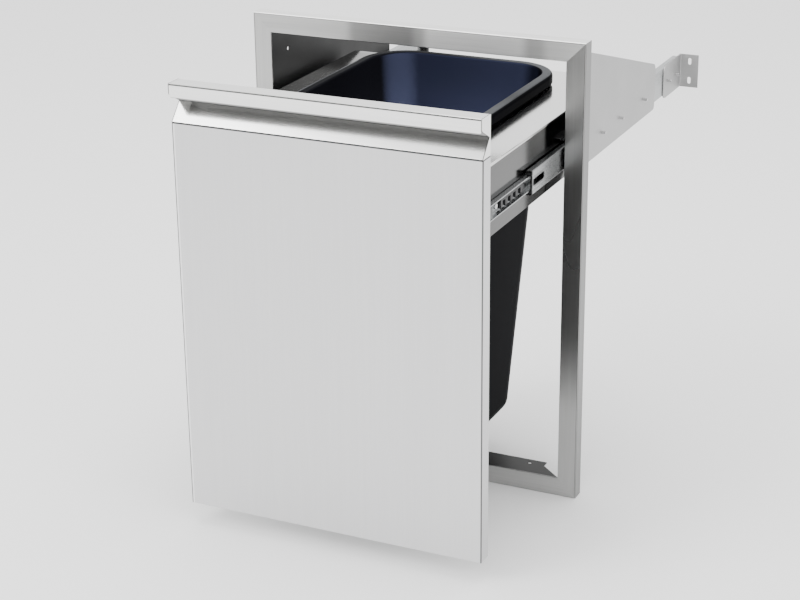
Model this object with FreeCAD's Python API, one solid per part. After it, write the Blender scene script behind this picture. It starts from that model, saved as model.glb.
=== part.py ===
import FreeCAD, Part
import math
import os
from FreeCAD import Vector

# Pull-out waste-bin drawer for a built-in island: a stainless face frame, an inset door with a
# folded handle, a folded bin carrier on ball-bearing slides, and a lift-out plastic bin.
# Millimetres. X across, +Y into the cabinet, +Z up. The origin is the middle of the frame's
# bottom edge, in the plane where the frame's return bears on the front of the island.
# The drawer is modelled part open.

# ---- driving dimensions ----
frame_width = 457.2
frame_height = 612.8
face_width = 25.4
frame_depth = 19.0
frame_sheet = 1.2
bearing_lip = 14.0
flange_depth = 38.0
flange_cut = 29.0
flange_cut_depth = 27.0
flange_hole_x = 153.6
flange_hole_y = 28.0
jamb_hole_y = 45.0
jamb_hole_margin = 31.0
screw_hole_r = 2.5

panel_sheet = 1.5
panel_strip = 60.0
wing_depth = 360.0
wing_drop = 27.0
wing_slope = 20.0
wing_back_top = 500.0
panel_tab = 12.0

bracket_start = 382.0
bracket_half = 24.0
bracket_flange = 28.0
bracket_slot_x = 15.0
bracket_slot_pitch = 28.0
bracket_slot_length = 10.0

drawer_out = 258.0
door_gap = 2.2
door_bottom_gap = 2.5
door_depth = 22.0
door_sheet = 1.2
door_hem = 12.0
door_face_top = 535.6
bevel_depth = 20.0
bevel_rise = 22.4
handle_top = 584.0
handle_overhang = 3.7
handle_lip = 17.2
lip_corner = 4.5
handle_tab = 15.0
seam = 0.2
liner_margin = 1.6
liner_top = 570.0
stiffener_width = 40.0
stiffener_margin = 35.0

slide_height = 463.0
slide_length = 457.0
slide_start = 25.0
slide_gap = 12.7
member_short = 8.0

carrier_sheet = 1.5
carrier_top = 515.5
carrier_drop = 86.5
carrier_bend = 2.0
rear_flange_drop = 40.0

bin_centre = 3.5
bin_wall = 2.5
bin_bottom = 58.0
bin_half_width = 122.5
bin_half_length = 174.5
bin_taper = 0.075
bin_corner = 54.0
bin_foot_radius = 18.0
rim_top = 532.5
rim_skirt = 13.0
rim_sheet = 3.0
rim_roll = 4.5
rim_inner_round = 2.5
rim_half_width = 135.5
rim_half_length = 187.5
rim_corner = 66.0
rest_outer = 131.0
rest_front = 110.0
rest_rear = 100.0
rest_corner = 6.0
rest_clearance = 0.3
cutout_clearance = 3.0
rib_pitch = 54.0
rib_sheet = 2.5

# ---- slide section, across the gap from the carrier side outwards ----
drawer_half = 9.5
drawer_web = 1.3
drawer_reach = 7.6
middle_inner_half = 13.5
middle_outer_half = 14.9
middle_start = 1.8
middle_web_in = 8.8
middle_web_out = 10.1
outer_inner_half = 18.5
outer_half = 19.8
outer_start = 1.0
outer_web_in = 11.3
inner_ball_x = 4.6
outer_ball_x = 5.5
ball_clearance = 0.05
cage_sheet = 0.4
cage_tab = 0.6
cage_length = 150.0
cage_margin = 12.0
ball_pitch = 22.0
balls_per_row = 7
latch_slot_length = 38.0
latch_slot_height = 8.5
latch_slot_start = 4.0
plug_length = 12.0
plug_half = 8.0

# ---- derived positions ----
front = -frame_depth
half_width = frame_width / 2
open_half = half_width - face_width
open_bottom = face_width
open_top = frame_height - face_width
door_half = open_half - door_gap
door_face = front - drawer_out
door_bottom = open_bottom + door_bottom_gap
door_back = door_face + door_depth
liner_back = door_back + door_sheet
carrier_half = open_half - slide_gap
carrier_front = liner_back
travel = slide_length
moving_length = slide_length - member_short
slide_front = front + slide_start
carrier_back = slide_front - drawer_out + moving_length
slide_back = slide_front + slide_length


# ---- helpers ----
def place(plane, a, b, offset):
    if plane == "YZ":
        return Vector(offset, a, b)
    if plane == "XZ":
        return Vector(a, offset, b)
    return Vector(a, b, offset)


def normal_of(plane):
    return {"YZ": Vector(1, 0, 0), "XZ": Vector(0, 1, 0), "XY": Vector(0, 0, 1)}[plane]


def outline(points, plane, offset, radii=None):
    """A closed wire through points on a plane; radii maps a point's index to its corner radius."""
    radii = radii or {}
    corners = [place(plane, a, b, offset) for a, b in points]
    ends = []
    for i, corner in enumerate(corners):
        before = corners[i - 1] - corner
        after = corners[(i + 1) % len(corners)] - corner
        before.normalize()
        after.normalize()
        if i not in radii:
            ends.append((corner, None, corner))
            continue
        half_angle = before.getAngle(after) / 2
        reach = radii[i] / math.tan(half_angle)
        middle = before + after
        middle.normalize()
        middle = corner + middle * (radii[i] / math.sin(half_angle) - radii[i])
        ends.append((corner + before * reach, middle, corner + after * reach))
    edges = []
    for i, (start, middle, end) in enumerate(ends):
        if middle is not None:
            edges.append(Part.Arc(start, middle, end).toShape())
        following = ends[(i + 1) % len(ends)][0]
        if (following - end).Length > 1e-6:
            edges.append(Part.LineSegment(end, following).toShape())
    return Part.Wire(edges)


def prism(points, plane, low, high, radii=None):
    face = Part.Face(outline(points, plane, low, radii))
    return face.extrude(normal_of(plane) * (high - low))


def box(low, high):
    size = [high[i] - low[i] for i in range(3)]
    return Part.makeBox(size[0], size[1], size[2], Vector(*low))


def rounded_rectangle(half_x, half_y, corner, z, centre_y):
    points = [(-half_x, centre_y - half_y), (half_x, centre_y - half_y),
              (half_x, centre_y + half_y), (-half_x, centre_y + half_y)]
    return outline(points, "XY", z, {i: corner for i in range(4)})


def rounded_block(half_x, half_y, corner, low, high, centre_y):
    face = Part.Face(rounded_rectangle(half_x, half_y, corner, low, centre_y))
    return face.extrude(Vector(0, 0, high - low))


def cross_hole(x_low, x_high, y, z, radius):
    low, high = min(x_low, x_high), max(x_low, x_high)
    return Part.makeCylinder(radius, high - low, Vector(low, y, z), Vector(1, 0, 0))


def slot_prism(x_low, x_high, y_low, y_high, z, height):
    half = height / 2
    points = [(y_low, z - half), (y_high, z - half), (y_high, z + half), (y_low, z + half)]
    return prism(points, "YZ", min(x_low, x_high), max(x_low, x_high),
                 {i: half * 0.45 for i in range(4)})


def export(shape, name):
    solids = shape.removeSplitter().Solids
    result = solids[0] if len(solids) == 1 else Part.makeCompound(solids)
    result.exportStep("parts/" + name + ".step")


def export_group(shapes, name):
    solids = [solid for shape in shapes for solid in shape.Solids]
    Part.makeCompound(solids).exportStep("parts/" + name + ".step")


# ---- face frame ----
def rail_section(with_flange):
    """Folded section, measured inwards from the outer edge and back from the front."""
    sheet = frame_sheet
    inner = [(face_width, front), (face_width, front + sheet)]
    if with_flange:
        inner = [(face_width, front), (face_width, front + flange_depth),
                 (face_width - sheet, front + flange_depth), (face_width - sheet, front + sheet)]
    points = [(0, front)] + inner
    points += [(sheet, front + sheet), (sheet, -sheet), (bearing_lip, -sheet), (bearing_lip, 0), (0, 0)]
    return points, {0: 1.1, 1: 1.1 if with_flange else 0.9}


def flange_relief(side, z):
    """The corner cut away from a rail's flange so that it clears the jamb."""
    root = front + frame_sheet
    points = [(side * open_half, root), (side * (open_half - flange_cut), front + flange_cut_depth),
              (side * (open_half - flange_cut), front + flange_depth + 5),
              (side * (half_width + 5), front + flange_depth + 5), (side * (half_width + 5), root)]
    return prism(points, "XY", z - 3, z + 3)


def rail(is_top):
    section, radii = rail_section(True)
    turned = [(y, frame_height - u if is_top else u) for u, y in section]
    bar = prism(turned, "YZ", -half_width, half_width, radii)
    outer = frame_height if is_top else 0.0
    inner = open_top if is_top else open_bottom
    mitre = prism([(-half_width, outer), (half_width, outer), (open_half, inner), (-open_half, inner)],
                  "XZ", front - 1, front + flange_depth + 1)
    bar = bar.common(mitre)
    for side in (-1, 1):
        bar = bar.cut(flange_relief(side, inner))
        hole_at = Vector(side * flange_hole_x, front + flange_hole_y, inner - 3)
        bar = bar.cut(Part.makeCylinder(screw_hole_r, 6, hole_at))
    return bar


def stile(side):
    section, radii = rail_section(False)
    turned = [(side * (half_width - u), y) for u, y in section]
    bar = prism(turned, "XY", 0, frame_height, radii)
    outer, inner = side * half_width, side * open_half
    mitre = prism([(outer, 0), (outer, frame_height), (inner, open_top), (inner, open_bottom)],
                  "XZ", front - 1, front + flange_depth + 1)
    return bar.common(mitre)


def side_panel(side):
    """Jamb strip and upper wing in one sheet, with a tab behind the stile's face."""
    root = front + frame_sheet
    wing_bottom = slide_height - wing_drop
    strip = front + panel_strip
    wing = front + wing_depth
    points = [(root, open_bottom), (strip, open_bottom), (strip, wing_bottom - wing_slope),
              (strip + wing_slope, wing_bottom), (wing, wing_bottom), (wing, wing_back_top),
              (strip, open_top), (root, open_top)]
    radii = {2: 8.0, 3: 8.0, 4: 6.0, 5: 10.0, 6: 20.0}
    inner = side * open_half
    outer = side * (open_half + panel_sheet)
    sheet = prism(points, "YZ", min(inner, outer), max(inner, outer), radii)
    tab_end = side * (open_half + panel_tab)
    tab = box((min(inner, tab_end), root, open_bottom + 2),
              (max(inner, tab_end), root + panel_sheet, open_top - 2))
    sheet = sheet.fuse(tab)
    for z in jamb_hole_heights():
        sheet = sheet.cut(cross_hole(inner - side, outer + side, front + jamb_hole_y, z, screw_hole_r))
    for y in panel_screw_places():
        sheet = sheet.cut(cross_hole(inner - side, outer + side, y, slide_height, 2.0))
    return sheet


def jamb_hole_heights():
    return [open_bottom + jamb_hole_margin, open_top - jamb_hole_margin]


def rear_bracket(side):
    """Angle at the back of a slide, with upright slots for screws into the back of the cabinet."""
    inner = side * open_half
    outer = side * (open_half + bracket_flange)
    sheet = panel_sheet
    points = [(inner, bracket_start), (inner, slide_back), (outer, slide_back), (outer, slide_back - sheet),
              (inner + side * sheet, slide_back - sheet), (inner + side * sheet, bracket_start)]
    angle = prism(points, "XY", slide_height - bracket_half, slide_height + bracket_half, {1: 2.0, 4: 0.8})
    trimmed = [(bracket_start, slide_height - bracket_half), (slide_back + 1, slide_height - bracket_half),
               (slide_back + 1, slide_height + bracket_half), (bracket_start, slide_height + bracket_half)]
    angle = angle.common(prism(trimmed, "YZ", -half_width - 20, half_width + 20, {0: 10.0, 3: 10.0}))
    for y in bracket_screw_places():
        angle = angle.cut(cross_hole(inner - side, inner + 3 * side, y, slide_height, 2.0))
    x = side * (open_half + bracket_slot_x)
    straight = bracket_slot_length / 2 - screw_hole_r
    for level in (-0.5, 0.5):
        z = slide_height + level * bracket_slot_pitch
        middle = box((x - screw_hole_r, slide_back - 3, z - straight),
                     (x + screw_hole_r, slide_back + 1, z + straight))
        angle = angle.cut(middle)
        for end in (-straight, straight):
            end_at = Vector(x, slide_back - 3, z + end)
            angle = angle.cut(Part.makeCylinder(screw_hole_r, 4, end_at, Vector(0, 1, 0)))
    return angle


def pan_screw(head_x, direction, y, z, head_r, head_height, shank_r, shank_length):
    """A screw along X: its head stands at head_x against the sheet, its shank runs in direction."""
    axis = Vector(direction, 0, 0)
    head = Part.makeCylinder(head_r, head_height, Vector(head_x - direction * head_height, y, z), axis)
    shank = Part.makeCylinder(shank_r, shank_length, Vector(head_x, y, z), axis)
    crown = [e for e in head.Edges if abs(e.CenterOfMass.x - (head_x - direction * head_height)) < 0.01]
    crown = [e for e in crown if isinstance(e.Curve, Part.Circle)]
    head = head.makeFillet(min(0.45, head_height * 0.4), crown)
    return head.fuse(shank).removeSplitter()


# ---- slides ----
def across(side, x):
    """Position in the slide gap: x runs outwards from the carrier's side."""
    return side * (carrier_half + x)


def channel(side, points, y_low, y_high, radii=None):
    turned = [(across(side, x), slide_height + z) for x, z in points]
    return prism(turned, "XZ", y_low, y_high, radii)


def cabinet_member(side):
    points = [(slide_gap, -outer_half), (outer_start, -outer_half), (outer_start, -outer_half + 2.6),
              (outer_start + 1.2, -outer_half + 2.6), (outer_start + 1.2, -outer_inner_half),
              (outer_web_in, -outer_inner_half), (outer_web_in, outer_inner_half),
              (outer_start + 1.2, outer_inner_half), (outer_start + 1.2, outer_half - 2.6),
              (outer_start, outer_half - 2.6), (outer_start, outer_half), (slide_gap, outer_half)]
    member = channel(side, points, slide_front, slide_front + slide_length,
                     {0: 1.6, 1: 1.0, 5: 1.0, 6: 1.0, 10: 1.0, 11: 1.6})
    for y in panel_screw_places() + bracket_screw_places():
        member = member.cut(cross_hole(across(side, outer_web_in - 1), across(side, slide_gap + 1),
                                       y, slide_height, 3.75))
    for share in (0.16, 0.32, 0.52, 0.7):
        y = slide_front + share * slide_length
        member = member.cut(slot_prism(across(side, outer_web_in - 1), across(side, slide_gap + 1),
                                       y, y + 14, slide_height, 5.0))
    return member


def panel_screw_places():
    return [slide_front + share * slide_length for share in (0.08, 0.24, 0.4, 0.62)]


def bracket_screw_places():
    return [slide_front + share * slide_length for share in (0.86, 0.94)]


def middle_member(side):
    front_end = slide_front - drawer_out / 2
    points = [(middle_start, -middle_outer_half), (middle_web_out, -middle_outer_half),
              (middle_web_out, middle_outer_half), (middle_start, middle_outer_half),
              (middle_start, middle_inner_half - 1.1), (middle_start + 1.1, middle_inner_half - 1.1),
              (middle_start + 1.1, middle_inner_half), (middle_web_in, middle_inner_half),
              (middle_web_in, -middle_inner_half), (middle_start + 1.1, -middle_inner_half),
              (middle_start + 1.1, -middle_inner_half + 1.1), (middle_start, -middle_inner_half + 1.1)]
    member = channel(side, points, front_end, front_end + moving_length,
                     {0: 1.0, 1: 1.6, 2: 1.6, 3: 1.0, 7: 0.8, 8: 0.8})
    web = (across(side, middle_web_in - 1), across(side, middle_web_out + 1))
    starts = [(latch_slot_start, latch_slot_length, latch_slot_height), (120.0, 12.0, 6.0),
              (210.0, 26.0, 6.0), (330.0, 12.0, 6.0), (400.0, 30.0, 6.0)]
    for start, length, height in starts:
        y = front_end + start
        member = member.cut(slot_prism(web[0], web[1], y, y + length, slide_height, height))
    for z in (-1, 1):
        groove = slot_prism(across(side, middle_web_out - 0.35), across(side, middle_web_out + 1),
                            front_end + 2, front_end + moving_length - 2, slide_height + z * 8.6, 3.2)
        member = member.cut(groove)
    return member


def drawer_member(side):
    front_end = slide_front - drawer_out
    points = [(0, -drawer_half), (drawer_reach, -drawer_half), (drawer_reach, -drawer_half + drawer_web),
              (drawer_web, -drawer_half + drawer_web), (drawer_web, drawer_half - drawer_web),
              (drawer_reach, drawer_half - drawer_web), (drawer_reach, drawer_half), (0, drawer_half)]
    member = channel(side, points, front_end, front_end + moving_length,
                     {0: 1.5, 3: 0.9, 4: 0.9, 7: 1.5})
    web = (across(side, -1), across(side, drawer_web + 1))
    for y in carrier_screw_places():
        member = member.cut(cross_hole(web[0], web[1], y, slide_height, 2.2))
    for start in (20.0, 46.0, 58.0, 90.0, 102.0, 240.0, 380.0):
        y = front_end + start
        member = member.cut(slot_prism(web[0], web[1], y, y + 7, slide_height + 3.4, 4.0))
    return member


def carrier_screw_places():
    front_end = slide_front - drawer_out
    return [front_end + start for start in (34.0, 160.0, 290.0, 425.0)]


def ball_radius(is_inner):
    if is_inner:
        return (middle_inner_half - drawer_half) / 2 - ball_clearance
    return (outer_inner_half - middle_outer_half) / 2 - ball_clearance


def cage_front(is_inner):
    closed = slide_front + travel / 4 + cage_margin
    return closed - drawer_out * (0.75 if is_inner else 0.25)


def ball_places(side, is_inner):
    ball_x = inner_ball_x if is_inner else outer_ball_x
    half = drawer_half if is_inner else middle_outer_half
    z = half + ball_radius(is_inner) + ball_clearance
    first = cage_front(is_inner) + (cage_length - ball_pitch * (balls_per_row - 1)) / 2
    places = []
    for level in (-z, z):
        for i in range(balls_per_row):
            places.append(Vector(across(side, ball_x), first + i * ball_pitch, slide_height + level))
    return places


def ball_cage(side, is_inner):
    ball_x = inner_ball_x if is_inner else outer_ball_x
    radius = ball_radius(is_inner)
    half = (drawer_half if is_inner else middle_outer_half) + radius + ball_clearance
    web_in = (drawer_reach if is_inner else middle_web_out) + 0.4
    tab_start = ball_x - radius - 0.5
    top = half + cage_tab / 2
    points = [(tab_start, -top), (web_in + cage_sheet, -top), (web_in + cage_sheet, top), (tab_start, top),
              (tab_start, top - cage_tab), (web_in, top - cage_tab), (web_in, -top + cage_tab),
              (tab_start, -top + cage_tab)]
    y_low = cage_front(is_inner)
    cage = channel(side, points, y_low, y_low + cage_length)
    for ball_centre in ball_places(side, is_inner):
        window = Part.makeCylinder(radius + ball_clearance, 2.4, ball_centre - Vector(0, 0, 1.2))
        cage = cage.cut(window)
    web = (across(side, web_in - 0.2), across(side, web_in + cage_sheet + 0.2))
    for i in range(balls_per_row - 1):
        y = y_low + (i + 0.75) * ball_pitch
        cage = cage.cut(slot_prism(web[0], web[1], y, y + 9, slide_height, half))
    return cage


def balls(side, is_inner):
    return [Part.makeSphere(ball_radius(is_inner), p) for p in ball_places(side, is_inner)]


def cabinet_member_screws(places):
    screws = []
    for side in (-1, 1):
        for y in places:
            face = across(side, outer_web_in + 1.15)
            screws.append(pan_screw(face, side, y, slide_height, 3.65, 1.1, 1.9, 8.0))
    return screws


def carrier_slide_screws():
    screws = []
    for side in (-1, 1):
        for y in carrier_screw_places():
            screws.append(pan_screw(across(side, drawer_web), -side, y, slide_height, 3.5, 1.9, 1.9, 7.5))
    return screws


def stop_buffers():
    """Rubber blocks at the back of the cabinet members, which the middle members close against."""
    blocks = []
    for side in (-1, 1):
        x_in, x_out = across(side, outer_start + 2.0), across(side, outer_web_in)
        block = box((min(x_in, x_out), slide_front + moving_length + 0.5, slide_height - 14),
                    (max(x_in, x_out), slide_front + slide_length, slide_height + 14))
        upright = [e for e in block.Edges if abs(e.tangentAt(e.FirstParameter).z) > 0.9]
        blocks.append(block.makeFillet(1.5, upright))
    return blocks


def end_plugs():
    """Grey moulded plugs in the front ends of the drawer members."""
    plugs = []
    front_end = slide_front - drawer_out
    for side in (-1, 1):
        x_in, x_out = across(side, drawer_web), across(side, drawer_reach - 0.2)
        plug = box((min(x_in, x_out), front_end, slide_height - plug_half),
                   (max(x_in, x_out), front_end + plug_length, slide_height + plug_half))
        along = [e for e in plug.Edges if abs(e.tangentAt(e.FirstParameter).y) > 0.9]
        plugs.append(plug.makeFillet(1.4, along))
    return plugs


# ---- bin carrier ----
def bin_carrier():
    """One folded sheet: a plate with a cut-out, two deep sides, and flanges front and back."""
    bottom = carrier_top - carrier_drop
    sheet = carrier_sheet
    body = box((-carrier_half, carrier_front, bottom), (carrier_half, carrier_back, carrier_top))
    bends = [e for e in body.Edges if abs(e.tangentAt(e.FirstParameter).y) > 0.9
             and abs(e.CenterOfMass.z - carrier_top) < 0.01]
    body = body.makeFillet(carrier_bend, bends)
    hollow = box((-carrier_half + sheet, carrier_front + sheet, bottom - 1),
                 (carrier_half - sheet, carrier_back - sheet, carrier_top - sheet))
    body = body.cut(hollow)
    body = body.cut(box((-carrier_half + sheet, carrier_back - sheet - 1, bottom - 1),
                        (carrier_half - sheet, carrier_back + 1, carrier_top - rear_flange_drop)))
    opening = rounded_block(bin_half_width + cutout_clearance, bin_half_length + cutout_clearance,
                            bin_corner, carrier_top - 10, carrier_top + 5, bin_centre + front)
    body = body.cut(opening)
    for side in (-1, 1):
        for y in carrier_screw_places():
            body = body.cut(cross_hole(side * (carrier_half - sheet - 1), side * (carrier_half + 1),
                                       y, slide_height, 2.0))
    for x, z in door_bolt_places():
        body = body.cut(Part.makeCylinder(2.7, 6, Vector(x, carrier_front - 2, z), Vector(0, 1, 0)))
    return body


def door_bolt_places():
    return [(x, z) for x in (-150.0, 0.0, 150.0) for z in (carrier_top - 22, carrier_top - 66)]


def door_bolts():
    bolts = []
    for x, z in door_bolt_places():
        seat = carrier_front + carrier_sheet
        corner = 4.6
        points = [(x + corner * math.cos(math.radians(60 * i)), z + corner * math.sin(math.radians(60 * i)))
                  for i in range(6)]
        head = prism(points, "XZ", seat + 1.0, seat + 4.5)
        washer = Part.makeCylinder(5.6, 1.0, Vector(x, seat, z), Vector(0, 1, 0))
        shank = Part.makeCylinder(2.45, 15.0, Vector(x, seat - 14.0, z), Vector(0, 1, 0))
        bolts.append(head.fuse([washer, shank]).removeSplitter())
    return bolts


def rivet_nuts():
    nuts = []
    for x, z in door_bolt_places():
        barrel = Part.makeCylinder(3.6, 11.0, Vector(x, door_back - 10.5, z), Vector(0, 1, 0))
        flange = Part.makeCylinder(5.2, 0.7, Vector(x, door_back - 0.7, z), Vector(0, 1, 0))
        bore = Part.makeCylinder(2.5, 13.0, Vector(x, door_back - 11.5, z), Vector(0, 1, 0))
        nuts.append(barrel.fuse(flange).cut(bore).removeSplitter())
    return nuts


# ---- door ----
def door_face_panel():
    """Folded pan: face, two side returns and a bottom return, with hems at the back."""
    sheet = door_sheet
    top = door_face_top - seam
    body = box((-door_half, door_face, door_bottom), (door_half, door_back, top))
    bends = [e for e in body.Edges if abs(e.CenterOfMass.y - door_face) < 0.01
             and abs(e.CenterOfMass.z - top) > 1]
    body = body.makeFillet(1.1, bends)
    body = body.cut(box((-door_half + sheet, door_face + sheet, door_bottom + sheet),
                        (door_half - sheet, door_back - sheet, top + 1)))
    body = body.cut(box((-door_half + door_hem, door_back - sheet - 1, door_bottom + door_hem),
                        (door_half - door_hem, door_back + 1, top + 1)))
    return body


def handle_channel():
    """Bevel, back plate, top and front lip in one fold, with a tab behind the door's face."""
    sheet = door_sheet
    slant = math.hypot(bevel_depth, bevel_rise)
    shift_y = sheet * bevel_rise / slant
    shift_z = sheet * bevel_depth / slant
    slope = bevel_rise / bevel_depth
    back = door_face + bevel_depth
    tab_front = door_face + sheet + 0.05
    tab_back = tab_front + sheet
    lip_front = door_face - handle_overhang
    lip_bottom = handle_top - handle_lip
    under_bevel = door_face_top - shift_z - shift_y * slope
    points = [(door_face, door_face_top), (back, door_face_top + bevel_rise), (back, handle_top - sheet),
              (lip_front + sheet, handle_top - sheet), (lip_front + sheet, lip_bottom),
              (lip_front, lip_bottom), (lip_front, handle_top), (back + sheet, handle_top),
              (back + sheet, under_bevel + (bevel_depth + sheet) * slope),
              (tab_back, under_bevel + (tab_back - door_face) * slope),
              (tab_back, door_face_top - handle_tab), (tab_front, door_face_top - handle_tab),
              (tab_front, door_face_top)]
    half = door_half - sheet
    bends = {0: 0.5, 1: 2.5, 2: 1.0, 3: 1.0, 5: 0.5, 6: 1.8, 7: 1.8, 8: 2.5}
    bar = prism(points, "YZ", -half, half, bends)
    for side in (-1, 1):
        centre = (side * (door_half - lip_corner), lip_bottom + lip_corner)
        corner = box((min(centre[0], side * (door_half + 1)), lip_front - 1, lip_bottom - 1),
                     (max(centre[0], side * (door_half + 1)), lip_front + sheet + 0.2, centre[1]))
        disc_at = Vector(centre[0], lip_front - 2, centre[1])
        disc = Part.makeCylinder(lip_corner, 6, disc_at, Vector(0, 1, 0))
        bar = bar.cut(corner.cut(disc))
    return bar


def handle_end_cap(side):
    """Closes the end of the handle and of the space behind the bevel; the finger gap stays open."""
    lip_front = door_face - handle_overhang
    lip_bottom = handle_top - handle_lip
    back = door_face + bevel_depth
    points = [(door_face, door_face_top + seam), (back - 0.5, door_face_top + bevel_rise - 0.5),
              (lip_front + 2.5, lip_bottom + 2.0), (lip_front, lip_bottom + lip_corner),
              (lip_front, handle_top), (door_back, handle_top), (door_back, door_face_top + seam)]
    inner, outer = side * (door_half - door_sheet), side * door_half
    return prism(points, "YZ", min(inner, outer), max(inner, outer), {2: 1.5, 4: 1.8, 5: 1.8})


def door_liner():
    half = door_half - liner_margin
    points = [(-half, door_bottom + liner_margin), (half, door_bottom + liner_margin),
              (half, liner_top), (-half, liner_top)]
    liner = prism(points, "XZ", door_back, liner_back, {i: 4.0 for i in range(4)})
    for x, z in door_bolt_places():
        liner = liner.cut(Part.makeCylinder(3.62, 4, Vector(x, door_back - 1, z), Vector(0, 1, 0)))
    return liner


def door_stiffener():
    """Upright hat section between the door's face and its liner."""
    sheet = 1.0
    wall_front = door_face + door_sheet
    wall_back = door_back
    half = stiffener_width / 2
    brim = 12.0
    points = [(-half, wall_front), (half, wall_front), (half, wall_back - sheet),
              (half + brim, wall_back - sheet), (half + brim, wall_back), (half - sheet, wall_back),
              (half - sheet, wall_front + sheet), (-half + sheet, wall_front + sheet),
              (-half + sheet, wall_back), (-half - brim, wall_back), (-half - brim, wall_back - sheet),
              (-half, wall_back - sheet)]
    top = carrier_top - carrier_drop - 10
    return prism(points, "XY", door_bottom + stiffener_margin, top)


# ---- bin ----
def bin_body_solid(shrink, low, high, foot):
    """Tapered solid with rounded corners; shrink sets it inside the outer wall."""
    sections = []
    for z in (low, high):
        inwards = (carrier_top - z) * bin_taper + shrink
        corner = bin_corner - 0.2 * inwards - 0.8 * shrink
        sections.append(rounded_rectangle(bin_half_width - inwards, bin_half_length - inwards,
                                          corner, z, bin_centre + front))
    solid = Part.makeLoft(sections, True, True)
    edges = [e for e in solid.Edges if abs(e.CenterOfMass.z - low) < 0.01 and e.BoundBox.ZLength < 0.01]
    return solid.makeFillet(foot, edges)


def bin_rest(side):
    """Rail under the rim's side that the bin stands on, with rounded ends."""
    low = carrier_top + rest_clearance
    inner = side * (bin_half_width - 1.0)
    outer = side * rest_outer
    centre = bin_centre + front
    points = [(inner, centre - rest_front), (outer, centre - rest_front),
              (outer, centre + rest_rear), (inner, centre + rest_rear)]
    return prism(points, "XY", low, rim_top - rim_sheet, {1: rest_corner, 2: rest_corner})


def rim_rib(x_low, x_high, y_low, y_high):
    return box((x_low, y_low, rim_top - rim_skirt), (x_high, y_high, rim_top - rim_sheet))


def waste_bin():
    centre = bin_centre + front
    outer = bin_body_solid(0.0, bin_bottom, rim_top, bin_foot_radius)
    inner = bin_body_solid(bin_wall, bin_bottom + bin_wall + 0.5, rim_top + 1, bin_foot_radius - 2)
    rim = rounded_block(rim_half_width, rim_half_length, rim_corner, rim_top - rim_skirt, rim_top, centre)
    crown = [e for e in rim.Edges if abs(e.CenterOfMass.z - rim_top) < 0.01]
    rim = rim.makeFillet(rim_roll, crown)
    under = rounded_block(rim_half_width - rim_sheet, rim_half_length - rim_sheet, rim_corner - rim_sheet,
                          rim_top - rim_skirt - 1, rim_top - rim_sheet, centre)
    rim = rim.cut(under)
    body = outer.fuse([rim, bin_rest(-1), bin_rest(1)])
    for offset in (-1.5, -0.5, 0.5, 1.5):
        x = offset * rib_pitch
        for end in (-1, 1):
            y = sorted((centre + end * (bin_half_length - 2), centre + end * (rim_half_length - 1)))
            body = body.fuse(rim_rib(x, x + rib_sheet, y[0], y[1]))
    body = body.cut(inner)
    top = [e for e in body.Edges if abs(e.CenterOfMass.z - rim_top) < 0.01 and e.BoundBox.ZLength < 0.01]
    mouth = [e for e in top if abs(e.CenterOfMass.x) < bin_half_width + 1
             and abs(e.CenterOfMass.y - centre) < bin_half_length + 1]
    return body.makeFillet(rim_inner_round, mouth)


# ---- build ----
os.makedirs("parts", exist_ok=True)
export(rail(True), "frame_top_rail")
export(rail(False), "frame_bottom_rail")
export_group(cabinet_member_screws(panel_screw_places()), "panel_slide_screws")
export_group(cabinet_member_screws(bracket_screw_places()), "bracket_screws")
export_group(carrier_slide_screws(), "carrier_slide_screws")
export_group(stop_buffers(), "slide_stop_buffers")
export_group(end_plugs(), "slide_end_plugs")
for side, word in ((-1, "left"), (1, "right")):
    export(stile(side), "frame_" + word + "_stile")
    export(side_panel(side), word + "_side_panel")
    export(rear_bracket(side), word + "_rear_bracket")
    export(cabinet_member(side), word + "_slide_cabinet_member")
    export(middle_member(side), word + "_slide_middle_member")
    export(drawer_member(side), word + "_slide_drawer_member")
    export(handle_end_cap(side), "handle_" + word + "_end_cap")
    for is_inner, race in ((False, "outer"), (True, "inner")):
        export(ball_cage(side, is_inner), word + "_" + race + "_ball_cage")
        export_group(balls(side, is_inner), word + "_" + race + "_balls")
export(bin_carrier(), "bin_carrier")
export_group(door_bolts(), "door_bolts")
export_group(rivet_nuts(), "rivet_nuts")
export(door_face_panel(), "door_face_panel")
export(handle_channel(), "handle_channel")
export(door_liner(), "door_liner")
export(door_stiffener(), "door_stiffener")
export(waste_bin(), "waste_bin")
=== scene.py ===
import math

import bmesh
import bpy
from mathutils import Matrix, Vector


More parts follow.
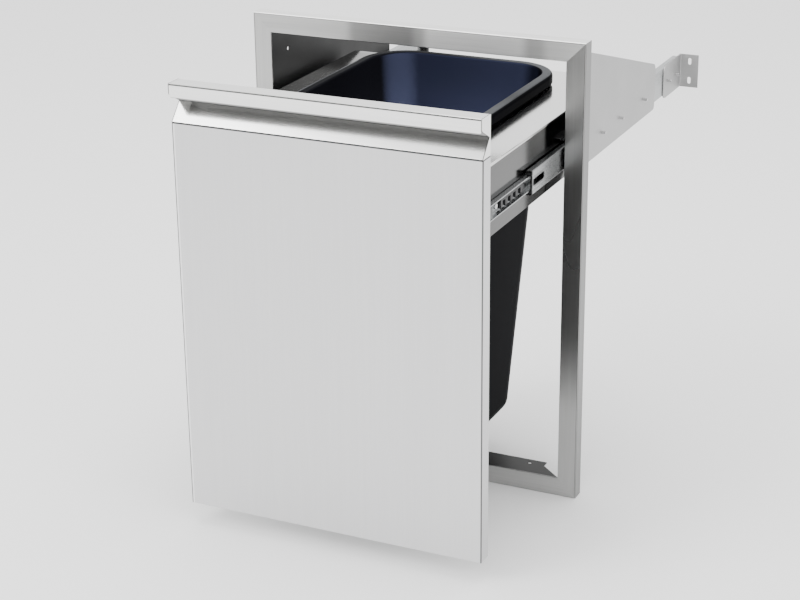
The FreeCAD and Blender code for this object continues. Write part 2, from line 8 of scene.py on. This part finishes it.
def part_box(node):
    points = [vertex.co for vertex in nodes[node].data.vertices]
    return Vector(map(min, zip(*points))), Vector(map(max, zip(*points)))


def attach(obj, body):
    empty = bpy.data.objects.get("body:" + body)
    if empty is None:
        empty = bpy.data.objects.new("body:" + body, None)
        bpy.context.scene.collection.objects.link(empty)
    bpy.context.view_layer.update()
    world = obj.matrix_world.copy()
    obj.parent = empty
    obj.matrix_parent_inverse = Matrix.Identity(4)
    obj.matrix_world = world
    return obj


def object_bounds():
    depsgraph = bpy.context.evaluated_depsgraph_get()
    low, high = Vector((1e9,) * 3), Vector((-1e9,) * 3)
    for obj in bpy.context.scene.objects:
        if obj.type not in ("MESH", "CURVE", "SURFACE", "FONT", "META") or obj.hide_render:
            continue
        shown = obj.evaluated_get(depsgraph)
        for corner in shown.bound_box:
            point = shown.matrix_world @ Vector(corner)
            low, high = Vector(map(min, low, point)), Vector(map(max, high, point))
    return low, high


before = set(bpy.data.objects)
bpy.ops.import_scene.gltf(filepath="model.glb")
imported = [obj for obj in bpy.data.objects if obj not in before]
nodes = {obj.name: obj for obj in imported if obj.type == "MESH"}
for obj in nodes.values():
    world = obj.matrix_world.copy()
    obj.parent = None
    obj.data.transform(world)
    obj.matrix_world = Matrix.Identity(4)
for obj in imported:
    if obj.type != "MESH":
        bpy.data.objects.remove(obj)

# Looks for the pull-out waste bin drawer. Metres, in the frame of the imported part: X across, Y into
# the cabinet, Z up.
cad_low, cad_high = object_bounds()

# ---- places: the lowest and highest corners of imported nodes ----
stile_low, stile_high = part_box("frame_right_stile")
rail_low, rail_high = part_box("frame_top_rail")
door_low, door_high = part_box("door_face_panel")
handle_low, handle_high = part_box("handle_channel")
carrier_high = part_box("bin_carrier")[1]
bin_low, bin_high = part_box("waste_bin")
drawer_member_low, drawer_member_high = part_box("right_slide_drawer_member")
middle_member_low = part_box("right_slide_middle_member")[0]
# Rounded to the micrometre, as the bevels of the added pieces depend on the last digits.
SLIDE_HEIGHT = round((drawer_member_low.z + drawer_member_high.z) / 2, 6)
CARRIER_HALF = round(carrier_high.x, 6)
DRAWER_MEMBER_FRONT = round(drawer_member_low.y, 6)
MIDDLE_MEMBER_FRONT = round(middle_member_low.y, 6)
OPENING_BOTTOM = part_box("frame_bottom_rail")[1].z
FRAME_SHEET = 0.0012
BEVEL_TOP = 0.5580
SIDES = ((-1, "left"), (1, "right"))

# ---- camera ----
CAMERA_PLACE = (0.980, -2.170, 1.168)
CAMERA_LENS = 86.5
CAMERA_TURN = 25.0
CAMERA_DOWN = 21.3
CAMERA_ROLL = -0.64


def make_camera():
    data = bpy.data.cameras.new("camera")
    data.lens = CAMERA_LENS
    data.sensor_width = 36.0
    data.clip_start = 0.05
    data.clip_end = 50.0
    camera = bpy.data.objects.new("camera", data)
    turn = Matrix.Rotation(math.radians(CAMERA_TURN), 4, "Z")
    tilt = Matrix.Rotation(math.radians(90 - CAMERA_DOWN), 4, "X")
    roll = Matrix.Rotation(math.radians(CAMERA_ROLL), 4, "Z")
    camera.matrix_world = Matrix.Translation(CAMERA_PLACE) @ turn @ tilt @ roll
    bpy.context.collection.objects.link(camera)
    bpy.context.scene.camera = camera


# ---- light and floor ----
WORLD_STRENGTH = 1.9
FLOOR_SIZE = 14.0
FLOOR_GAP = 0.0005


def area_light(name, place, target, size, power):
    data = bpy.data.lights.new(name, "AREA")
    data.size = size
    data.energy = power
    lamp = bpy.data.objects.new(name, data)
    lamp.location = place
    aim = Vector(target) - Vector(place)
    lamp.rotation_euler = aim.to_track_quat("-Z", "Y").to_euler()
    bpy.context.collection.objects.link(lamp)


def make_light():
    world = bpy.data.worlds.new("studio")
    world.use_nodes = True
    background = world.node_tree.nodes["Background"]
    background.inputs["Color"].default_value = (1.0, 1.0, 1.0, 1.0)
    background.inputs["Strength"].default_value = WORLD_STRENGTH
    bpy.context.scene.world = world
    area_light("key", place=(-1.6, -2.2, 2.6), target=(0, -0.1, 0.3), size=1.6, power=62.0)
    area_light("fill", place=(2.4, -1.2, 1.6), target=(0, 0, 0.3), size=1.4, power=14.0)
    area_light("top", place=(0.0, 0.2, 2.8), target=(0, 0, 0.3), size=1.8, power=40.0)


def make_floor():
    bpy.ops.mesh.primitive_plane_add(size=FLOOR_SIZE, location=(0, 0, cad_low.z - FLOOR_GAP))
    floor = bpy.context.object
    floor.name = "floor"
    material, _, shader = new_material("floor_paper")
    shader.inputs["Base Color"].default_value = (0.92, 0.92, 0.92, 1)
    shader.inputs["Roughness"].default_value = 0.9
    floor.data.materials.append(material)


# ---- shader parts ----
def new_material(name):
    material = bpy.data.materials.new(name)
    material.use_nodes = True
    tree = material.node_tree
    return material, tree, tree.nodes["Principled BSDF"]


def set_or_link(tree, socket, value):
    """Sets a socket to a vector or colour given as a tuple, or links it to another node's socket."""
    if isinstance(value, tuple):
        socket.default_value = value if len(socket.default_value) == len(value) else (*value, 1.0)
    else:
        tree.links.new(value, socket)


def texture_place(tree, output="Object"):
    """The point, or with "Normal" the surface's normal, in the part's own frame."""
    return tree.nodes.new("ShaderNodeTexCoord").outputs[output]


def coordinate(tree, axis):
    """One coordinate of the point, in metres."""
    split = tree.nodes.new("ShaderNodeSeparateXYZ")
    tree.links.new(texture_place(tree), split.inputs["Vector"])
    return split.outputs[axis]


def vector_math(tree, operation, *values):
    node = tree.nodes.new("ShaderNodeVectorMath")
    node.operation = operation
    for socket, value in zip(node.inputs, values):
        set_or_link(tree, socket, value)
    return node.outputs["Value" if operation == "DOT_PRODUCT" else "Vector"]


def multiply(tree, *values):
    """All the values, multiplied with one another."""
    product = values[0]
    for value in values[1:]:
        node = tree.nodes.new("ShaderNodeMath")
        node.operation = "MULTIPLY"
        tree.links.new(product, node.inputs[0])
        tree.links.new(value, node.inputs[1])
        product = node.outputs["Value"]
    return product


def map_range(tree, value, shape, start, end, low, high):
    """Goes from low at start to high at end in the given shape, and stays there beyond."""
    node = tree.nodes.new("ShaderNodeMapRange")
    node.interpolation_type = shape
    node.inputs["From Min"].default_value = start
    node.inputs["From Max"].default_value = end
    node.inputs["To Min"].default_value = low
    node.inputs["To Max"].default_value = high
    tree.links.new(value, node.inputs["Value"])
    return node.outputs["Result"]


def spread(tree, texture, low, high):
    """Spreads the middle of a noise's range over low to high."""
    return map_range(tree, texture, "LINEAR", 0.3, 0.7, low, high)


def vary(tree, texture, share):
    """A factor round 1 that follows a noise, by up to a share either way."""
    return spread(tree, texture, 1 - share, 1 + share)


def fade(tree, value, start, end, low, high):
    """Goes from low at start to high at end with a smooth beginning and end."""
    return map_range(tree, value, "SMOOTHSTEP", start, end, low, high)


def noise(tree, scale, detail):
    """A noise between 0 and 1, with so many lumps to the metre along each axis."""
    mapping = tree.nodes.new("ShaderNodeMapping")
    mapping.inputs["Scale"].default_value = scale
    tree.links.new(texture_place(tree), mapping.inputs["Vector"])
    texture = tree.nodes.new("ShaderNodeTexNoise")
    texture.inputs["Scale"].default_value = 1.0
    texture.inputs["Detail"].default_value = detail
    texture.inputs["Roughness"].default_value = 0.5
    tree.links.new(mapping.outputs["Vector"], texture.inputs["Vector"])
    return texture.outputs["Fac"]


def grain_scale(grain, along, across):
    """A noise scale that is stretched along the grain's axis."""
    return tuple(along if axis == grain else across for axis in "XYZ")


def tinted(tree, value, colour):
    """A colour, given or linked, whose brightness follows value."""
    node = tree.nodes.new("ShaderNodeVectorMath")
    node.operation = "SCALE"
    set_or_link(tree, node.inputs[0], colour)
    tree.links.new(value, node.inputs["Scale"])
    return node.outputs["Vector"]


def mixed(tree, factor, first, second):
    """The first colour where factor is 0 and the second where it is 1."""
    node = tree.nodes.new("ShaderNodeMix")
    node.data_type = "RGBA"
    tree.links.new(factor, node.inputs["Factor"])
    colour_a, colour_b = node.inputs[6], node.inputs[7]
    set_or_link(tree, colour_a, first)
    set_or_link(tree, colour_b, second)
    return node.outputs[2]


def bump(tree, shader, height, distance, strength):
    node = tree.nodes.new("ShaderNodeBump")
    node.inputs["Strength"].default_value = strength
    node.inputs["Distance"].default_value = distance
    tree.links.new(height, node.inputs["Height"])
    tree.links.new(node.outputs["Normal"], shader.inputs["Normal"])


def looking(tree, direction):
    """How far the surface looks in a direction: 1 straight along it, -1 the other way."""
    return vector_math(tree, "DOT_PRODUCT", texture_place(tree, "Normal"), direction)


def facing(tree, axis, low, high):
    """low where the surface looks across the axis, high where it looks along it, either way."""
    normal = texture_place(tree, "Normal")
    square = vector_math(tree, "MULTIPLY", normal, normal)
    direction = tuple(1.0 if axis == a else 0.0 for a in "XYZ")
    return fade(tree, vector_math(tree, "DOT_PRODUCT", square, direction), 0.3, 0.6, low, high)


# ---- patches: boxes in which a surface is lighter or darker ----
CRISP = 0.0003
FAR = 1.0


def patch(factor, **limits):
    """A factor for the brightness inside limits, which are given for one or more of X, Y and Z."""
    return factor, limits


def between(low, high, edge=CRISP):
    """Limits along an axis, which fade over edge to either side of low and high."""
    return low, high, edge


def above(limit, edge=CRISP):
    return limit, FAR, edge


def below(limit, edge=CRISP):
    return -FAR, limit, edge


def region(tree, limits, inside, outside=1.0):
    """inside where the point is within all the limits and outside elsewhere, with the edges soft."""
    mask = None
    for axis, (low, high, edge) in limits.items():
        place = coordinate(tree, axis)
        window = multiply(tree, fade(tree, place, low - edge, low + edge, 0.0, 1.0),
                          fade(tree, place, high - edge, high + edge, 1.0, 0.0))
        mask = window if mask is None else multiply(tree, mask, window)
    return fade(tree, mask, 0.0, 1.0, outside, inside)


def patched(tree, shade, patches):
    """A shade, multiplied by the factor of each patch inside that patch's limits."""
    return multiply(tree, shade, *[region(tree, limits, factor) for factor, limits in patches])


# ---- kinds of material ----
def make_metal(tree, shader, shade, colour, roughness):
    tree.links.new(tinted(tree, shade, colour), shader.inputs["Base Color"])
    tree.links.new(roughness, shader.inputs["Roughness"])
    shader.inputs["Metallic"].default_value = 1.0


def brushed_steel(name, grain, colour, roughness, streak, cloud, patches=(), edges=None):
    """Stainless steel sanded along one axis: fine and coarse streaks, a faint large mottle, and
    patches of painted light and shade, such as painted shade along bends and on the back of the sheet.
    edges is (axis, factor), for the cut edges of a sheet that lies across the axis."""
    material, tree, shader = new_material(name)
    fine = noise(tree, grain_scale(grain, 10.0, 500.0), 2.0)
    coarse = noise(tree, grain_scale(grain, 2.0, 120.0), 1.0)
    mottle = noise(tree, grain_scale(grain, 4.0, 9.0), 2.0)
    shade = multiply(tree, vary(tree, fine, streak), vary(tree, coarse, streak * 0.7),
                     vary(tree, mottle, cloud))
    shade = patched(tree, shade, patches)
    if edges:
        axis, factor = edges
        shade = multiply(tree, shade, facing(tree, axis, factor, 1.0))
    make_metal(tree, shader, shade, colour, spread(tree, mottle, roughness - 0.01, roughness + 0.01))
    return material


def mill_steel(name, colour, roughness, patches=()):
    """Unpolished sheet: cloudy, with faint rolling lines."""
    material, tree, shader = new_material(name)
    cloud = noise(tree, (16.0, 16.0, 16.0), 4.0)
    lines = noise(tree, (30.0, 700.0, 700.0), 2.0)
    shade = patched(tree, multiply(tree, vary(tree, cloud, 0.07), vary(tree, lines, 0.025)), patches)
    make_metal(tree, shader, shade, colour, spread(tree, cloud, roughness - 0.05, roughness + 0.05))
    bump(tree, shader, lines, distance=0.00005, strength=0.4)
    return material


def zinc_plate(name, colour, roughness, patches=()):
    """Bright zinc: rolled along the slide, with a fine crystalline mottle."""
    material, tree, shader = new_material(name)
    crystal = noise(tree, (900.0, 500.0, 900.0), 3.0)
    lines = noise(tree, (1400.0, 14.0, 1400.0), 2.0)
    shade = patched(tree, multiply(tree, vary(tree, crystal, 0.07), vary(tree, lines, 0.06)), patches)
    make_metal(tree, shader, shade, colour, spread(tree, crystal, roughness - 0.06, roughness + 0.06))
    bump(tree, shader, lines, distance=0.00005, strength=0.5)
    return material


def moulded_plastic(name, colour, roughness, grain_size):
    """Moulded plastic with a very fine texture and slight unevenness of gloss."""
    material, tree, shader = new_material(name)
    grain = noise(tree, (1 / grain_size,) * 3, 3.0)
    wave = noise(tree, (9.0, 9.0, 4.0), 2.0)
    tree.links.new(tinted(tree, vary(tree, wave, 0.1), colour), shader.inputs["Base Color"])
    tree.links.new(spread(tree, wave, roughness - 0.03, roughness + 0.03), shader.inputs["Roughness"])
    shader.inputs["IOR"].default_value = 1.4
    bump(tree, shader, grain, distance=0.00008, strength=0.25)
    return material


# ---- the materials with patches of their own ----
# One stainless steel: painted darker on the frame as painted shade, and lighter on the handle and its end
# caps as painted light.
FRAME_SHADED_COLOUR = (0.40, 0.40, 0.395)
HANDLE_LIT_COLOUR = (0.88, 0.88, 0.87)
ZINC_COLOUR = (0.36, 0.37, 0.375)


def rail_steel():
    """The rails, painted light and shade: light and dark stripes along the face as painted reflections,
    painted shade on the flange, a painted shade line below the upper bend and a painted highlight on the
    upper side."""
    top = rail_high.z
    face = between(rail_low.z, top - 0.0010)
    # Painted reflections: light and dark stripes along the face.
    painted_reflection_bands = ((-0.090, 0.000, 0.012, 0.60), (0.015, 0.148, 0.012, 1.90),
             (0.148, 0.175, 0.006, 1.10), (0.175, 0.230, 0.010, 1.50))
    patches = [patch(factor, X=between(start, end, edge), Z=face) for start, end, edge, factor in painted_reflection_bands]
    # Painted shade on the flange and below the upper bend, and a painted highlight on the upper side.
    flanges = between(OPENING_BOTTOM - FRAME_SHEET * 1.5, rail_low.z + FRAME_SHEET)
    patches += [patch(0.05, Y=above(rail_low.y + FRAME_SHEET), Z=flanges),
                patch(0.45, Y=below(rail_low.y + 0.0010, 0.0005), Z=between(top - 0.0019, top - 0.0011)),
                patch(2.20, Z=above(top - 0.0010))]
    return brushed_steel("rail_steel", grain="X", colour=FRAME_SHADED_COLOUR, roughness=0.40, streak=0.05,
                         cloud=0.04, patches=patches)


def stile_steel():
    """The stiles, painted light and shade: a broad dark band at mid height as a painted reflection, a
    painted shade line along each outer bend and painted shade on the right side."""
    half = stile_high.x
    # Painted reflection at mid height, and painted shade along the outer bends and on the right side.
    patches = [patch(0.40, Z=between(0.20, 0.48, 0.07), X=between(-half + 0.0011, half - 0.0011, 0.0005)),
               patch(0.35, X=between(half - 0.0018, half - 0.0011)),
               patch(0.45, X=between(-half + 0.0011, -half + 0.0020)),
               patch(0.45, X=above(half - 0.0007))]
    return brushed_steel("stile_steel", grain="Z", colour=FRAME_SHADED_COLOUR, roughness=0.28, streak=0.04,
                         cloud=0.03, patches=patches)


def door_steel():
    """The door's face: painted shade lines along its side bends, a painted highlight line inside the
    left one, and a dark line along its top, where it meets the handle."""
    left, right = door_low.x, door_high.x
    front = below(door_low.y + 0.0025, 0.0004)
    # Painted shade along the side bends and a painted highlight inside the left one; the top line is the
    # dark join with the handle.
    patches = [patch(0.10, X=below(left + 0.0015), Y=front),
               patch(1.35, X=between(left + 0.0019, left + 0.0037), Y=front),
               patch(0.15, X=above(right - 0.0009, 0.0004), Y=front),
               patch(0.12, Z=above(door_high.z - 0.0013))]
    return brushed_steel("door_steel", grain="Z", colour=(0.62, 0.62, 0.625), roughness=0.34,
                         streak=0.012, cloud=0.008, patches=patches)


def handle_steel():
    """The handle: painted shade lines along its lip's bends, a dark line at its seam with the door,
    painted shade on the back plate, and a soft dark band of painted reflection along the top of the bevel."""
    top = handle_high.z
    front = handle_low.y
    seam = door_high.z
    # A painted reflection: a soft dark band along the top of the bevel.
    bevel_painted_reflection = patch(0.42, Z=between(BEVEL_TOP - 0.0080, BEVEL_TOP + 0.0020, 0.0050),
                       X=above(-0.1830, 0.0008), Y=between(front + 0.0042, front + 0.0235, 0.0004))
    # Painted shade along the lip's bends and on the back plate; the line at the seam is the dark join with
    # the door.
    patches = [patch(0.08, Z=between(top - 0.0022, top - 0.0004), Y=below(front + 0.0014)),
               patch(0.25, Z=between(top - 0.0180, top - 0.0166, 0.0004), Y=below(front + 0.0017, 0.0004)),
               patch(0.30, Z=between(seam - 0.0004, seam + 0.0008)),
               patch(0.30, Z=between(BEVEL_TOP - 0.0005, top - 0.0009, 0.0004),
                     Y=above(front + 0.0014, 0.0004)),
               bevel_painted_reflection]
    return brushed_steel("handle_steel", grain="X", colour=HANDLE_LIT_COLOUR, roughness=0.20, streak=0.03,
                         cloud=0.01, patches=patches)


def cap_steel():
    """The handle's end pieces: dark cut edges."""
    return brushed_steel("cap_steel", grain="Z", colour=HANDLE_LIT_COLOUR, roughness=0.25, streak=0.012,
                         cloud=0.01, edges=("X", 0.2))


def carrier_steel():
    """The bin carrier: a light steel as painted light on top, with painted shade on all below the top's
    bends and in the plate's rear left corner.
    """
    plate = carrier_high.z - 0.0020
    # Painted shade below the top's bends and in the plate's rear left corner.
    patches = [patch(0.075, Z=below(plate, 0.0006)),
               patch(0.12, X=between(-0.21, -0.04, 0.03), Y=between(0.09, 0.21, 0.04),
                     Z=above(plate, 0.0006))]
    return brushed_steel("carrier_steel", grain="Y", colour=(0.80, 0.80, 0.79), roughness=0.13,
                         streak=0.02, cloud=0.02, patches=patches)


def panel_steel():
    """The side panels and rear brackets: painted shade on the faces that look into the opening."""
    opening = stile_low.x + 0.0004
    # Painted shade on the faces inside the opening.
    return mill_steel("panel_steel", colour=(0.42, 0.42, 0.42), roughness=0.50,
                      patches=[patch(0.08, X=between(-opening, opening, 0.0002))])


def middle_zinc():
    """The slides' middle members: painted shade on the front edge, and a darker stretch round the latch
    slot.
    """
    front = MIDDLE_MEMBER_FRONT
    # Painted shade on the front edge; darker round the latch slot.
    patches = [patch(0.08, Y=below(front + 0.0030, 0.0004)),
               patch(0.55, Y=between(front + 0.0080, front + 0.0370, 0.0006),
                     Z=between(SLIDE_HEIGHT - 0.0065, SLIDE_HEIGHT + 0.0065, 0.0006))]
    return zinc_plate("middle_zinc", colour=ZINC_COLOUR, roughness=0.28, patches=patches)


def bin_inside(tree):
    """The colour inside the bin, painted light and shade: bluer on its ends than on its sides, a painted
    highlight in the rear left corner, painted light low down and to the right, and painted shade on the
    wall that looks left."""
    # Painted shade on the sides, painted light on the ends, and a painted highlight in the rear left
    # corner.
    sides = (0.0110, 0.0112, 0.0150)
    ends = (0.0280, 0.0320, 0.0620)
    corner = (0.0750, 0.0850, 0.1550)
    colour = mixed(tree, facing(tree, "Y", 0.0, 1.0), sides, ends)
    out_of_corner = looking(tree, (0.58, -0.81, 0.0))
    colour = mixed(tree, fade(tree, out_of_corner, 0.84, 1.0, 0.0, 1.0), colour, corner)
    # Painted light low down and to the right, and painted shade on the wall that looks left.
    painted_depth_light = fade(tree, coordinate(tree, "Z"), 0.36, bin_high.z, 2.4, 0.55)
    across = fade(tree, coordinate(tree, "X"), -0.07, 0.09, 1.0, 1.5)
    painted_wall_shade = fade(tree, looking(tree, (1.0, 0.0, 0.0)), -0.55, -0.15, 0.25, 1.0)
    return tinted(tree, multiply(tree, painted_depth_light, across, painted_wall_shade), colour)


def bin_plastic():
    """Polyethylene: near black outside, darkened as painted shade, and dark blue inside, lightened as
    painted light. The rim's top has a grey painted highlight, fading to black at the left, where a thin
    painted highlight line runs along it."""
    outside = (0.0025, 0.0026, 0.0035)
    crown_painted_highlight = (0.065, 0.067, 0.071)
    line_painted_highlight = (0.070, 0.072, 0.076)
    rim_top = bin_high.z
    material, tree, shader = new_material("bin_plastic")

    spoke = vector_math(tree, "SUBTRACT", texture_place(tree), tuple((bin_low + bin_high) / 2))
    level = vector_math(tree, "MULTIPLY", spoke, (1.0, 1.0, 0.0))
    outwards = vector_math(tree, "DOT_PRODUCT", level, texture_place(tree, "Normal"))
    # Painted shade outside and painted light inside.
    colour = mixed(tree, fade(tree, outwards, -0.03, -0.005, 1.0, 0.0), outside, bin_inside(tree))

    # Painted highlight on the rim's top, grey at the right and fading to black at the left.
    crown = multiply(tree, fade(tree, looking(tree, (0.0, 0.0, 1.0)), 0.75, 0.95, 0.0, 1.0),
                     fade(tree, coordinate(tree, "Z"), rim_top - 0.003, rim_top - 0.001, 0.0, 1.0),
                     fade(tree, coordinate(tree, "X"), -0.06, 0.12, 0.06, 1.0))
    colour = mixed(tree, crown, colour, crown_painted_highlight)
    # A thin painted highlight line along the rim's left side.
    line_limits = {"X": between(bin_low.x + 0.0025, bin_low.x + 0.0055, 0.0004),
                   "Y": between(-0.15, 0.09, 0.01), "Z": above(rim_top - 0.0025)}
    line = region(tree, line_limits, inside=1.0, outside=0.0)
    colour = mixed(tree, line, colour, line_painted_highlight)
    tree.links.new(colour, shader.inputs["Base Color"])

    wave = noise(tree, (9.0, 9.0, 4.0), 2.0)
    tree.links.new(spread(tree, wave, 0.27, 0.33), shader.inputs["Roughness"])
    shader.inputs["IOR"].default_value = 1.03
    bump(tree, shader, noise(tree, (1400.0,) * 3, 3.0), distance=0.00008, strength=0.2)
    return material


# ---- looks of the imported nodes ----
def make_materials():
    """The materials by name. Blender adds a number to the names that packed materials have already."""
    return {
        "rail_steel": rail_steel(),
        "stile_steel": stile_steel(),
        "door_steel": door_steel(),
        "handle_steel": handle_steel(),
        "cap_steel": cap_steel(),
        "carrier_steel": carrier_steel(),
        "panel_steel": panel_steel(),
        "liner_steel": mill_steel("liner_steel", (0.50, 0.50, 0.50), roughness=0.36),
        "fastener_steel": mill_steel("fastener_steel", (0.50, 0.50, 0.50), roughness=0.28),
        "slide_zinc": zinc_plate("slide_zinc", ZINC_COLOUR, roughness=0.28),
        "middle_zinc": middle_zinc(),
        "cage_zinc": zinc_plate("cage_zinc", (0.20, 0.20, 0.20), roughness=0.36),
        "ball_steel": zinc_plate("ball_steel", (0.70, 0.70, 0.70), roughness=0.10),
        "plug_plastic": moulded_plastic("plug_plastic", (0.09, 0.095, 0.095), 0.45, grain_size=0.0006),
        "clip_plastic": moulded_plastic("clip_plastic", (0.012, 0.012, 0.013), 0.4, grain_size=0.0006),
        "buffer_rubber": moulded_plastic("buffer_rubber", (0.02, 0.02, 0.02), 0.75, grain_size=0.0005),
        "bin_plastic": bin_plastic(),
    }


def both_sides(*names):
    return [f"{word}_{name}" for _, word in SIDES for name in names]


NODES_OF_MATERIAL = {
    "rail_steel": ["frame_top_rail", "frame_bottom_rail"],
    "stile_steel": ["frame_left_stile", "frame_right_stile"],
    "door_steel": ["door_face_panel"],
    "handle_steel": ["handle_channel"],
    "cap_steel": ["handle_left_end_cap", "handle_right_end_cap"],
    "carrier_steel": ["bin_carrier"],
    "panel_steel": both_sides("side_panel", "rear_bracket"),
    "liner_steel": ["door_liner", "door_stiffener"],
    "fastener_steel": ["bracket_screws", "panel_slide_screws", "carrier_slide_screws", "door_bolts",
                       "rivet_nuts"],
    "slide_zinc": both_sides("slide_cabinet_member", "slide_drawer_member"),
    "middle_zinc": both_sides("slide_middle_member"),
    "cage_zinc": both_sides("outer_ball_cage", "inner_ball_cage"),
    "ball_steel": both_sides("outer_balls", "inner_balls"),
    "plug_plastic": ["slide_end_plugs"],
    "buffer_rubber": ["slide_stop_buffers"],
    "bin_plastic": ["waste_bin"],
}


def dress_nodes(materials):
    for key, names in NODES_OF_MATERIAL.items():
        for name in names:
            mesh = nodes[name].data
            for i in range(len(mesh.materials)):
                mesh.materials[i] = materials[key]


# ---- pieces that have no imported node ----
EDGE_BEVEL = 0.0003


def extruded(name, outline, axis, low, high, body, material):
    """A closed outline, of (y, z) points for the axis X or (x, z) points for Y, drawn out along the
    axis from low to high with softened edges, riding on a body."""
    mesh = bpy.data.meshes.new(name)
    work = bmesh.new()
    corners = [(low, a, b) if axis == "X" else (a, low, b) for a, b in outline]
    step = (high - low, 0, 0) if axis == "X" else (0, high - low, 0)
    face = work.faces.new([work.verts.new(corner) for corner in corners])
    grown = bmesh.ops.extrude_face_region(work, geom=[face])
    far_corners = [v for v in grown["geom"] if isinstance(v, bmesh.types.BMVert)]
    bmesh.ops.translate(work, vec=step, verts=far_corners)
    bmesh.ops.recalc_face_normals(work, faces=work.faces)
    bmesh.ops.bevel(work, geom=work.edges[:], offset=EDGE_BEVEL, segments=2, affect="EDGES")
    work.to_mesh(mesh)
    work.free()
    piece = bpy.data.objects.new(name, mesh)
    bpy.context.collection.objects.link(piece)
    mesh.materials.append(material)
    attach(piece, body)


def release_levers(materials):
    """Levers lying in the drawer members, with notches cut up into them from below."""
    start = DRAWER_MEMBER_FRONT + 0.0440
    end = start + 0.0700
    tip = end + 0.0060
    bottom = SLIDE_HEIGHT - 0.0060
    notch_top = SLIDE_HEIGHT + 0.0020
    top = SLIDE_HEIGHT + 0.0055
    notch_pitch = 0.0160
    notch_width = 0.0080
    outline = [(start, bottom)]
    for i in range(4):
        low = start + 0.0060 + i * notch_pitch
        high = low + notch_width
        outline += [(low, bottom), (low, notch_top), (high, notch_top), (high, bottom)]
    outline += [(end, bottom), (tip, SLIDE_HEIGHT), (end, top), (start, top)]
    inner = CARRIER_HALF + 0.0016
    outer = CARRIER_HALF + 0.0046
    for side, word in SIDES:
        extruded(word + "_release_lever", outline, "X", side * inner, side * outer, "drawer",
                 materials["clip_plastic"])


def front_clips(materials):
    """Black clips in the front ends of the middle members, round the drawer member."""
    mouth = CARRIER_HALF + 0.0029
    inner_web = CARRIER_HALF + 0.0079
    outer_web = CARRIER_HALF + 0.0086
    inner_half = 0.0100
    outer_half = 0.0131
    start = MIDDLE_MEMBER_FRONT + 0.0003
    end = MIDDLE_MEMBER_FRONT + 0.0095
    section = [(mouth, inner_half), (inner_web, inner_half), (inner_web, -inner_half),
               (mouth, -inner_half), (mouth, -outer_half), (outer_web, -outer_half),
               (outer_web, outer_half), (mouth, outer_half)]
    for side, word in SIDES:
        outline = [(side * x, SLIDE_HEIGHT + z) for x, z in section]
        extruded(word + "_front_clip", outline, "Y", start, end, word + "_middle",
                 materials["clip_plastic"])


make_camera()
make_light()
make_floor()
materials = make_materials()
dress_nodes(materials)
release_levers(materials)
front_clips(materials)
